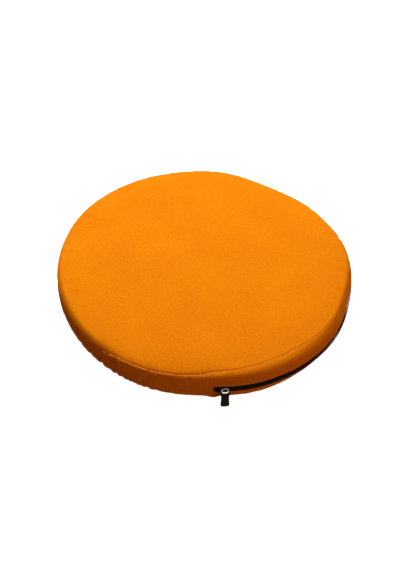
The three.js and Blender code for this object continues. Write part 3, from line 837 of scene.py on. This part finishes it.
def tab_loop():
    head, neck, tip = TAB_HEAD[0] / 2, TAB_NECK[0] / 2, TAB_TIP[0] / 2
    shoulder, crown = TAB_HEAD[1] * TAB_ROUNDNESS, neck * TAB_ROUNDNESS
    flare = -(TAB_NECK[1] + TAB_TIP[1]) / 2
    right = [
        ((head, shoulder), (crown, TAB_HEAD[1]), (0, TAB_HEAD[1])),
        ((-crown, TAB_HEAD[1]), (-head, shoulder), (-head, 0)),
        ((-head, -TAB_NECK_PULL), (-neck, -TAB_NECK_PULL), (-neck, -TAB_NECK[1])),
        ((-neck, flare), (-tip, flare), (-tip, -TAB_TIP[1])),
        ((-tip, -tab_foot), (-crown, -tab_foot), (0, -tab_foot)),
        ((crown, -tab_foot), (tip, -tab_foot), (tip, -TAB_TIP[1])),
        ((tip, flare), (neck, flare), (neck, -TAB_NECK[1])),
        ((neck, -TAB_NECK_PULL), (head, -TAB_NECK_PULL), (head, 0)),
    ]
    return curved_loop((head, 0), right)


def panel_loop():
    neck, tip = TAB_NECK[0] / 2 - PANEL_RIM, TAB_TIP[0] / 2 - PANEL_RIM
    top, low, foot = -0.0092, -TAB_TIP[1], -tab_foot + PANEL_RIM
    flare = -(TAB_NECK[1] + TAB_TIP[1]) / 2
    arcs = [
        ((neck, top), (0.6 * neck, top), (0, top)),
        ((-0.6 * neck, top), (-neck, top), (-neck, -TAB_NECK[1])),
        ((-neck, flare), (-tip, flare), (-tip, low)),
        ((-tip, foot), (-0.6 * tip, foot), (0, foot)),
        ((0.6 * tip, foot), (tip, foot), (tip, low)),
        ((tip, flare), (neck, flare), (neck, -TAB_NECK[1])),
    ]
    return curved_loop((neck, -TAB_NECK[1]), arcs)


def slider_hook():
    """The hook's section, from the side: its arm runs through the eyelet and turns up in front."""
    roof = (EYELET_OPENING[1] * math.cos(PULL_LEAN) - EYELET_DEPTH * math.sin(PULL_LEAN)) / 2
    arm_top = EYELET_RISE + roof - CLEARANCE
    lip_back = tab_out + EYELET_DEPTH / 2 + CLEARANCE / 2
    lip_front = lip_back + LIP_THICKNESS
    arm_foot = arm_top - HOOK_THICKNESS
    back, soft = SLIDER_SIZE[2] / 2, LIP_THICKNESS * 0.6
    outline = [(back, arm_foot)]
    outline += [(lip_front - soft, arm_foot), (lip_front - 0.3 * soft, arm_foot + 0.3 * soft)]
    outline += [(lip_front, arm_foot + soft), (lip_front, arm_top + LIP_HEIGHT)]
    outline += [(lip_back, arm_top + LIP_HEIGHT), (lip_back, arm_top), (back, arm_top)]
    mesh = plate("hook", [outline], -HOOK_WIDTH / 2, HOOK_WIDTH / 2, 0.0002)
    mesh.transform(Matrix.Rotation(-math.pi / 2, 4, "Y"))
    return mesh


length, width, thickness = SLIDER_SIZE
slider_parts = [plate("body", [rounded_loop(length, width, SLIDER_CORNER)], 0, thickness)]
slider_parts.append(slider_hook())
slider = assembled("slider", slider_parts, pull_frame, "zip_slider")

hole = oval_loop(*(2 * (EYELET_RIM + CLEARANCE) + opening for opening in EYELET_OPENING))
half = TAB_THICKNESS / 2
tab_parts = [plate("tab", [tab_loop(), hole], -half, half - PANEL_SINK)]
tab_parts.append(plate("rim", [tab_loop(), hole, panel_loop()], -half + EDGE, half))
tab = assembled("tab", tab_parts, tab_frame, "pull_tab")


# The ring's section, as shares: how far out through its rim, and how far forward. It flares forward.
RING_SECTION = [
    (0.06, -1.00), (0.00, -0.85), (0.00, -0.30), (0.12, 0.02), (0.40, 0.42), (0.68, 0.80),
    (0.84, 1.00), (0.95, 0.95), (1.00, 0.80), (1.00, -0.30), (0.96, -0.85), (0.80, -1.00),
]


def eyelet_ring():
    points = []
    for i in range(64):
        angle = 2 * math.pi * i / 64
        for out, forward in RING_SECTION:
            x = (EYELET_OPENING[0] / 2 + EYELET_RIM * out) * math.cos(angle)
            y = (EYELET_OPENING[1] / 2 + EYELET_RIM * out) * math.sin(angle)
            points.append((x, y, forward * EYELET_DEPTH / 2))
    count = len(RING_SECTION)
    faces = grid_faces(64, count, closed=True)
    last = 63 * count
    faces += [(last + j, j, (j + 1) % count, last + (j + 1) % count) for j in range(count)]
    mesh = bpy.data.meshes.new("ring")
    mesh.from_pydata(points, [], faces)
    return mesh


eyelet = assembled("eyelet", [eyelet_ring()], tab_frame, "pull_eyelet")
print("pull:", sum(len(piece.data.polygons) for piece in (slider, tab, eyelet)), "faces")

# %% [markdown]
# The two round panels close over the filling. Each is built from rings of points round the middle.
# A plain fan of rings would crowd its points in the middle and starve the rim, so each ring has as
# many points as its length asks for, and the count halves on the way in. A known fault: 45 doesn't
# halve evenly, so the rings that count 22 or 11 points hold one more, and the rings after them join
# one point askew. It leaves an opening of 2 to 4 mm near the middle of each panel.

# %% Rings of the panels
RIM_POINTS = 360
RING_STEP = 0.0042
ROLL_SHARES = [1, 0.8, 0.62, 0.46, 0.33, 0.22, 0.13, 0.07, 0.03, 0.01, 0]
LAP = 0.0016  # how far the panel rolls out over the band on the left, where its seam is drawn under
WALL_DEPTH = 0.0046  # from the band's face to the filling's own wall behind it
FILLING_ROWS = 6

# A ring's last record is its painted highlight, which the panels don't get.
Ring = namedtuple("Ring", "count points pinned worn")


def full_ring(inset, height, pinned, worn=0.0):
    azimuth = rim_azimuths
    return Ring(RIM_POINTS, on_rim(azimuth, inset, height), pinned, worn)


rim_azimuths = np.arange(RIM_POINTS) * 360 / RIM_POINTS - 180


def top_height(azimuth, inward):
    share = np.minimum(inward / roll(azimuth), 1)
    rolled = (1 - (1 - share) ** 2) ** (1 / fullness(azimuth))
    return seam_height(azimuth) + (TOP_EDGE_HEIGHT - seam_height(azimuth)) * rolled


def seam_dip(azimuth, inward):
    """How far the creases and puckers of the band pull the panel down beside its seam."""
    crease = CREASE_DIP * crease_depth(azimuth, np.ones_like(azimuth)) * np.exp(-((inward / 0.005) ** 2))
    return crease + 0.7 * pucker_depth(TOP_PUCKERS, azimuth, inward)


def inner_rings(edge_inset, heights, pinned):
    """Rings from the middle out to a full ring, each with as many points as its length asks for."""
    rings = []
    flat = outline_radius(rim_azimuths) - edge_inset
    count = int(round(flat.mean() / RING_STEP))
    for i in range(1, count):
        share = i / count
        points = RIM_POINTS
        while points > 12 and 2 * math.pi * share * RADIUS / points < 0.62 * RING_STEP:
            points //= 2
        step = RIM_POINTS // points
        azimuth = rim_azimuths[::step]
        inset = outline_radius(azimuth) - flat[::step] * share
        rings.append(Ring(points, on_rim(azimuth, inset, heights(share)), pinned, 0.0))
    return rings


def top_rings():
    left = np.interp(rim_azimuths, (-180, -150, -42, -34), (0, 1, 1, 0))
    inset = seam_inset(rim_azimuths) + CLEARANCE - LAP * left
    rings = inner_rings(inset + TOP_ROLL, lambda share: TOP_EDGE_HEIGHT + CROWN * (1 - share**2), 0.0)
    for share in ROLL_SHARES:
        inward = TOP_ROLL * share
        height = top_height(rim_azimuths, np.full(RIM_POINTS, inward))
        height = height - seam_dip(rim_azimuths, inward) - round_off(np.full(RIM_POINTS, inward))
        rings.append(full_ring(inset + inward, height, float(np.clip(1.3 - 1.6 * share, 0, 1)), 0.0))
    return rings


def wall_rings():
    rings = []
    for level in np.linspace(0.93, -0.93, FILLING_ROWS):
        inset, height, out, up = bulge(rim_azimuths, np.full(RIM_POINTS, level))
        rings.append(full_ring(inset + out * WALL_DEPTH, height - up * WALL_DEPTH, 1.0))
    return rings


def foot_rings():
    inset = foot_inset(rim_azimuths) + CLEARANCE
    height = foot_height(rim_azimuths)
    corner = ((0, 1), (0.1, 0.6), (0.3, 0.3), (1, 0))  # shares of the roll inward and of the height
    rings = [full_ring(inset + FOOT_ROLL * inward, height * up, 1.0) for inward, up in corner]
    return rings + inner_rings(inset + FOOT_ROLL, lambda share: 0.0, 1.0)[::-1]


def join_rings(outer, inner, start_outer, start_inner):
    """Faces between two rings, where the inner one has as many points or half as many."""
    faces = []
    ratio = outer.count // inner.count
    for i in range(inner.count):
        a, b = start_inner + i, start_inner + (i + 1) % inner.count
        c = start_outer + i * ratio
        e = start_outer + ((i + 1) * ratio) % outer.count
        if ratio == 1:
            faces.append((a, c, e, b))
        else:
            d = start_outer + i * ratio + 1
            faces += [(a, c, d), (a, d, b), (b, d, e)]
    return faces


rings = top_rings() + wall_rings() + foot_rings()
starts = np.concatenate([[0], np.cumsum([r.count for r in rings])])
panel_points = np.concatenate([r.points for r in rings] + [[(0, 0, TOP_EDGE_HEIGHT + CROWN), (0, 0, 0)]])
panel_faces = []
for i in range(len(rings) - 1):
    first, second = (i, i + 1) if rings[i].count > rings[i + 1].count else (i + 1, i)
    panel_faces += join_rings(rings[first], rings[second], int(starts[first]), int(starts[second]))
centre_top, centre_foot = len(panel_points) - 2, len(panel_points) - 1
for i in range(rings[0].count):
    panel_faces.append((centre_top, i, (i + 1) % rings[0].count))
for i in range(rings[-1].count):
    last = int(starts[-2])
    panel_faces.append((centre_foot, last + i, last + (i + 1) % rings[-1].count))
panels = new_piece("cushion_panels", panel_points, panel_faces)
face_out(panels)
pins = panels.vertex_groups.new(name="held")
for ring, start in zip(rings, starts):
    pins.add(list(range(int(start), int(start) + ring.count)), ring.pinned, "REPLACE")
print("panels:", len(panels.data.vertices), "points in", len(rings), "rings")

# %% [markdown]
# The filling pushes the top panel up, and the panel is held at its seam. Blender's cloth simulation
# does that with a pressure and no gravity. The panel's cloth is cut a touch larger than its place,
# so it also gathers a little along the seam. The filling is a firm slab, so no point of the panel
# may move far, and the result is then kept in the mesh.

# %% Fill the cushion
PRESSURE = 4.0
SPARE_CLOTH = 0.004  # by how much the panel is cut larger than its place
SIM_FRAMES = 20
MOST_MOVE = 0.0022


def fill(piece):
    cloth = piece.modifiers.new("fill", "CLOTH")
    settings = cloth.settings
    settings.quality = 4
    settings.mass = 0.25
    settings.tension_stiffness = 15
    settings.compression_stiffness = 15
    settings.shear_stiffness = 8
    settings.bending_stiffness = 2
    settings.use_pressure = True
    settings.uniform_pressure_force = PRESSURE
    settings.shrink_min = -SPARE_CLOTH
    settings.vertex_group_mass = "held"
    settings.effector_weights.gravity = 0
    cloth.collision_settings.use_collision = False
    cloth.point_cache.frame_end = SIM_FRAMES
    before = np.array([v.co for v in piece.data.vertices])
    for step in range(1, SIM_FRAMES + 1):
        scene.frame_set(step)
    freeze(piece)
    scene.frame_set(1)
    after = np.array([v.co for v in piece.data.vertices])
    move = after - before
    length = np.linalg.norm(move, axis=1, keepdims=True)
    kept = MOST_MOVE * np.tanh(length / MOST_MOVE) / np.maximum(length, 1e-9)
    piece.data.vertices.foreach_set("co", np.ravel(before + move * kept))
    print(f"the cloth moved {1000 * length.max():.2f} mm at most, kept {1000 * (length * kept).max():.2f}")


fill(panels)

# %% [markdown]
# One subdivision makes the filled panel smooth. After it, the flat cloth's own coordinates are set
# down for the weave: straight across the panels, since a round panel is cut from one flat piece.

# %% Finish the panels
UNEVEN_SIZE = 0.085
UNEVEN_HEIGHT = 0.0007


def finish_panels(piece):
    smooth = piece.modifiers.new("smooth", "SUBSURF")
    smooth.levels = smooth.render_levels = 1
    mesh = freeze(piece)
    points = np.array([v.co for v in mesh.vertices])
    inward = np.clip((RADIUS - np.hypot(points[:, 0], points[:, 1])) / 0.03, 0, 1)
    soft = wobble(points, UNEVEN_SIZE, UNEVEN_HEIGHT, 11) + wobble(points, 0.03, 0.00012, 13)
    on_top = np.clip((points[:, 2] - 0.041) / 0.003, 0, 1)
    points[:, 2] = np.maximum(points[:, 2] + soft * inward * on_top, 0)  # the underside lies flat
    mesh.vertices.foreach_set("co", np.ravel(points))
    flat = np.stack([points[:, 0], points[:, 1], 0 * points[:, 0]], -1)
    mesh.attributes.new("cloth", "FLOAT_VECTOR", "POINT").data.foreach_set("vector", np.ravel(flat))
    # The panels carry no painted highlight.
    mesh.attributes.new("worn", "FLOAT", "POINT")
    mesh.update()


finish_panels(panels)
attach(panels, "root")
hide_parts("cushion")
print("panels after subdivision:", len(panels.data.polygons), "faces")

# %% [markdown]
# The canvas is a plain weave of orange yarn. Its colour isn't even: the yarn has slubs and the dye
# clouds a little. A paler highlight is painted along the seam ridges and the folded edges. The weave
# is a pattern of two crossing sine waves in the cloth's own coordinates, used as bump.

# %% Material helpers
def material(name):
    made = bpy.data.materials.new(name)
    made.use_nodes = True
    return made, made.node_tree, made.node_tree.nodes["Principled BSDF"]


def add(tree, kind, **values):
    node = tree.nodes.new(kind)
    for key, value in values.items():
        if hasattr(node, key):
            setattr(node, key, value)
        else:
            node.inputs[key.replace("_", " ")].default_value = value
    return node


def join(tree, start, end):
    tree.links.new(start, end)


def math_node(tree, operation, first, second):
    node = tree.nodes.new("ShaderNodeMath")
    node.operation = operation
    for socket, value in zip(node.inputs, (first, second)):
        if isinstance(value, (int, float)):
            socket.default_value = value
        else:
            join(tree, value, socket)
    return node.outputs[0]


def times(tree, first, second):
    return math_node(tree, "MULTIPLY", first, second)


def plus(tree, first, second):
    return math_node(tree, "ADD", first, second)


def wave(tree, along, pitch):
    return math_node(tree, "SINE", times(tree, along, 2 * math.pi / pitch), 0)


def mixed(tree, factor, first, second):
    node = add(tree, "ShaderNodeMix", data_type="RGBA")
    for socket, value in ((node.inputs[0], factor), (node.inputs[6], first), (node.inputs[7], second)):
        if isinstance(value, (int, float)):
            socket.default_value = value
        elif isinstance(value, tuple):
            socket.default_value = (*value, 1)
        else:
            join(tree, value, socket)
    return node.outputs[2]


def noise_at(tree, place, scale, detail=2.0):
    node = add(tree, "ShaderNodeTexNoise", Scale=scale, Detail=detail)
    join(tree, place, node.inputs["Vector"])
    return node.outputs["Fac"]


def bump(tree, shader, height, distance):
    node = add(tree, "ShaderNodeBump", Distance=distance, Strength=1.0)
    join(tree, height, node.inputs["Height"])
    join(tree, node.outputs[0], shader.inputs["Normal"])


# %% Orange canvas
YARN_PITCH = 0.0009
CANVAS_ORANGE = (0.89, 0.268, 0.0018)
CANVAS_DEEP = (0.78, 0.205, 0.0012)
# Colour of the painted highlight on the seam ridges and folded edges.
CANVAS_HIGHLIGHT = (0.92, 0.42, 0.10)


def stretched(tree, place, scale):
    node = add(tree, "ShaderNodeMapping")
    node.inputs["Scale"].default_value = scale
    join(tree, place, node.inputs["Vector"])
    return node.outputs[0]


def canvas():
    made, tree, shader = material("orange_canvas")
    cloth = add(tree, "ShaderNodeAttribute", attribute_name="cloth")
    worn = add(tree, "ShaderNodeAttribute", attribute_name="worn")
    place = cloth.outputs["Vector"]
    axes = add(tree, "ShaderNodeSeparateXYZ")
    join(tree, place, axes.inputs[0])
    weave = times(tree, wave(tree, axes.outputs[0], YARN_PITCH), wave(tree, axes.outputs[1], YARN_PITCH))
    warp_slub = noise_at(tree, stretched(tree, place, (1100, 160, 1)), 1.0)
    weft_slub = noise_at(tree, stretched(tree, place, (160, 1100, 1)), 1.0)
    slub = times(tree, plus(tree, warp_slub, weft_slub), 0.5)
    clouds = noise_at(tree, place, 14.0)
    grain = noise_at(tree, place, 360.0, 4.0)
    fine = plus(tree, times(tree, slub, 0.4), times(tree, grain, 0.4))
    tone = plus(tree, fine, times(tree, clouds, 0.2))
    ramp = add(tree, "ShaderNodeValToRGB")
    ramp.color_ramp.elements[0].position = 0.40
    ramp.color_ramp.elements[0].color = (*CANVAS_DEEP, 1)
    ramp.color_ramp.elements[1].position = 0.58
    ramp.color_ramp.elements[1].color = (*CANVAS_ORANGE, 1)
    join(tree, tone, ramp.inputs[0])
    # Painted highlight along the seam ridges and folded edges, broken up by the slubs.
    painted_light = times(tree, worn.outputs["Fac"], times(tree, warp_slub, 0.9))
    join(tree, mixed(tree, painted_light, ramp.outputs[0], CANVAS_HIGHLIGHT), shader.inputs["Base Color"])
    join(tree, plus(tree, times(tree, slub, 0.2), 0.72), shader.inputs["Roughness"])
    shader.inputs["Specular IOR Level"].default_value = 0.04
    height = plus(tree, plus(tree, times(tree, weave, 0.35), slub), times(tree, grain, 0.9))
    bump(tree, shader, height, 0.00045)
    return made


orange_canvas = canvas()
for piece in (panels, side_band, upper_strip, lower_strip):
    piece.data.materials.append(orange_canvas)

# %% [markdown]
# The zip's tape is woven in a herringbone, its coils are smooth nylon, and the thread of the stitches
# is twisted. The slider and the tab are enamelled black, thinner and paler where fingers rub their
# edges. The eyelet is nickel with faint smudges.

# %% Tape, nylon and thread
RIB_PITCH = 0.0011


def herringbone():
    made, tree, shader = material("zip_tape_weave")
    cloth = add(tree, "ShaderNodeAttribute", attribute_name="cloth")
    axes = add(tree, "ShaderNodeSeparateXYZ")
    join(tree, cloth.outputs["Vector"], axes.inputs[0])
    zigzag = math_node(tree, "PINGPONG", axes.outputs[1], 0.0016)
    ribs = wave(tree, plus(tree, axes.outputs[0], zigzag), RIB_PITCH)
    fuzz = noise_at(tree, cloth.outputs["Vector"], 900.0)
    dark = mixed(tree, fuzz, (0.004, 0.004, 0.004), (0.014, 0.013, 0.013))
    join(tree, dark, shader.inputs["Base Color"])
    join(tree, plus(tree, times(tree, fuzz, 0.2), 0.6), shader.inputs["Roughness"])
    shader.inputs["Specular IOR Level"].default_value = 0.1
    bump(tree, shader, plus(tree, ribs, fuzz), 0.00012)
    return made


def varied(name, first, second, scale, rough, spread, **fixed):
    """A material whose colour and roughness both wander a little with a noise."""
    made, tree, shader = material(name)
    place = add(tree, "ShaderNodeTexCoord")
    fuzz = noise_at(tree, place.outputs["Object"], scale)
    join(tree, mixed(tree, fuzz, first, second), shader.inputs["Base Color"])
    join(tree, plus(tree, times(tree, fuzz, spread), rough), shader.inputs["Roughness"])
    for key, value in fixed.items():
        shader.inputs[key.replace("_", " ")].default_value = value
    return made, tree, shader, fuzz


zip_tape_weave = herringbone()
coil_nylon, coil_tree, coil_shader, coil_fuzz = varied(
    "coil_nylon", (0.004, 0.004, 0.004), (0.010, 0.010, 0.010), 700.0, 0.34, 0.2, Specular_IOR_Level=0.15
)
bump(coil_tree, coil_shader, coil_fuzz, 0.00003)
orange_thread, thread_tree, thread_shader, thread_fuzz = varied(
    "orange_thread", (0.80, 0.19, 0.004), (0.90, 0.27, 0.012), 2500.0, 0.5, 0.2
)
bump(thread_tree, thread_shader, thread_fuzz, 0.0001)

# %% Enamel and nickel
ENAMEL = (0.006, 0.006, 0.007)
RUBBED = (0.045, 0.043, 0.042)


def enamel():
    made, tree, shader, fuzz = varied("black_enamel", ENAMEL, (0.010, 0.010, 0.011), 400.0, 0.22, 0.2)
    form = add(tree, "ShaderNodeNewGeometry")
    edge = math_node(tree, "SUBTRACT", form.outputs["Pointiness"], 0.52)
    rubbed = times(tree, math_node(tree, "MAXIMUM", edge, 0), times(tree, fuzz, 14))
    rubbed = math_node(tree, "MINIMUM", rubbed, 1)
    join(tree, mixed(tree, rubbed, ENAMEL, RUBBED), shader.inputs["Base Color"])
    bump(tree, shader, fuzz, 0.00003)
    return made


black_enamel = enamel()
bright_nickel, _, _, _ = varied(
    "bright_nickel", (0.80, 0.79, 0.77), (0.90, 0.89, 0.87), 500.0, 0.12, 0.16, Metallic=1.0
)
finishes = {
    upper_tape: zip_tape_weave, lower_tape: zip_tape_weave, coils: coil_nylon, stitches: orange_thread,
    slider: black_enamel, tab: black_enamel, eyelet: bright_nickel,
}
for piece, finish in finishes.items():
    piece.data.materials.clear()
    piece.data.materials.append(finish)
print("finishes:", ", ".join(sorted({finish.name for finish in finishes.values()})))

# %% [markdown]
# The floor is plain and pale. One large soft light hangs over the cushion, behind it and a little to
# the left, so that the top is bright and the front of the band lies in shade, as in the photograph.
# Two weak warm lights, low in front at the right and at the left, open up that shade. The floor is
# only seen, and throws no light back, because the shade under the rim is deep.

# %% Floor and light
FLOOR_SIZE = 12.0
KEY_PLACE = Vector((-0.32, 1.36, 2.02))
KEY_SIZE = 1.17
KEY_POWER = 84.0
FILL_PLACE = Vector((1.35, -1.25, 0.5))
FILL_SIZE = 1.6
FILL_POWER = 10.0
FILL_COLOUR = (1.0, 0.5, 0.3)
LEFT_PLACE = Vector((-1.6, -0.45, 0.5))
LEFT_POWER = 2.6
SKY_STRENGTH = 0.12
SKY_COLOUR = (1.0, 0.6, 0.36)
ROOM_STRENGTH = 2.0  # of the white ceiling that the metal mirrors

floor = new_piece(
    "floor",
    [(x * FLOOR_SIZE, y * FLOOR_SIZE, -0.0004) for x, y in ((-1, -1), (1, -1), (1, 1), (-1, 1))],
    [(0, 1, 2, 3)],
)
paint, paint_tree, paint_shader = material("pale_floor")
floor_place = add(paint_tree, "ShaderNodeTexCoord")
clouds = noise_at(paint_tree, floor_place.outputs["Object"], 3.0)
floor_tone = mixed(paint_tree, clouds, (0.92, 0.92, 0.92), (0.95, 0.95, 0.95))
join(paint_tree, floor_tone, paint_shader.inputs["Base Color"])
paint_shader.inputs["Roughness"].default_value = 0.9
paint_shader.inputs["Emission Color"].default_value = (1, 1, 1, 1)
paint_shader.inputs["Emission Strength"].default_value = 0.97
floor.data.materials.append(paint)
floor.visible_diffuse = False
floor.visible_glossy = False


def area_light(name, place, size, power, colour=(1, 1, 1)):
    data = bpy.data.lights.new(name, "AREA")
    data.shape = "DISK"
    data.size = size
    data.energy = power
    data.color = colour
    light = bpy.data.objects.new(name, data)
    light.location = place
    light.rotation_euler = (middle - place).to_track_quat("-Z", "Y").to_euler()
    scene.collection.objects.link(light)


area_light("key_light", KEY_PLACE, KEY_SIZE, KEY_POWER)
area_light("fill_light", FILL_PLACE, FILL_SIZE, FILL_POWER, FILL_COLOUR)
area_light("left_fill_light", LEFT_PLACE, FILL_SIZE, LEFT_POWER, FILL_COLOUR)
world = bpy.data.worlds.new("studio")
world.use_nodes = True
air = world.node_tree
sky = air.nodes["Background"]
rays = add(air, "ShaderNodeLightPath")
direction = add(air, "ShaderNodeTexCoord")
compass = add(air, "ShaderNodeSeparateXYZ")
join(air, direction.outputs["Generated"], compass.inputs[0])
aloft = math_node(air, "MAXIMUM", times(air, compass.outputs[2], 2.0), 0)
mirrored = times(air, rays.outputs["Is Glossy Ray"], math_node(air, "MINIMUM", aloft, 1))
join(air, mixed(air, mirrored, SKY_COLOUR, (1.0, 1.0, 1.0)), sky.inputs["Color"])
brightness = plus(air, times(air, mirrored, ROOM_STRENGTH - SKY_STRENGTH), SKY_STRENGTH)
join(air, brightness, sky.inputs["Strength"])
scene.world = world
scene.view_settings.view_transform = "Standard"
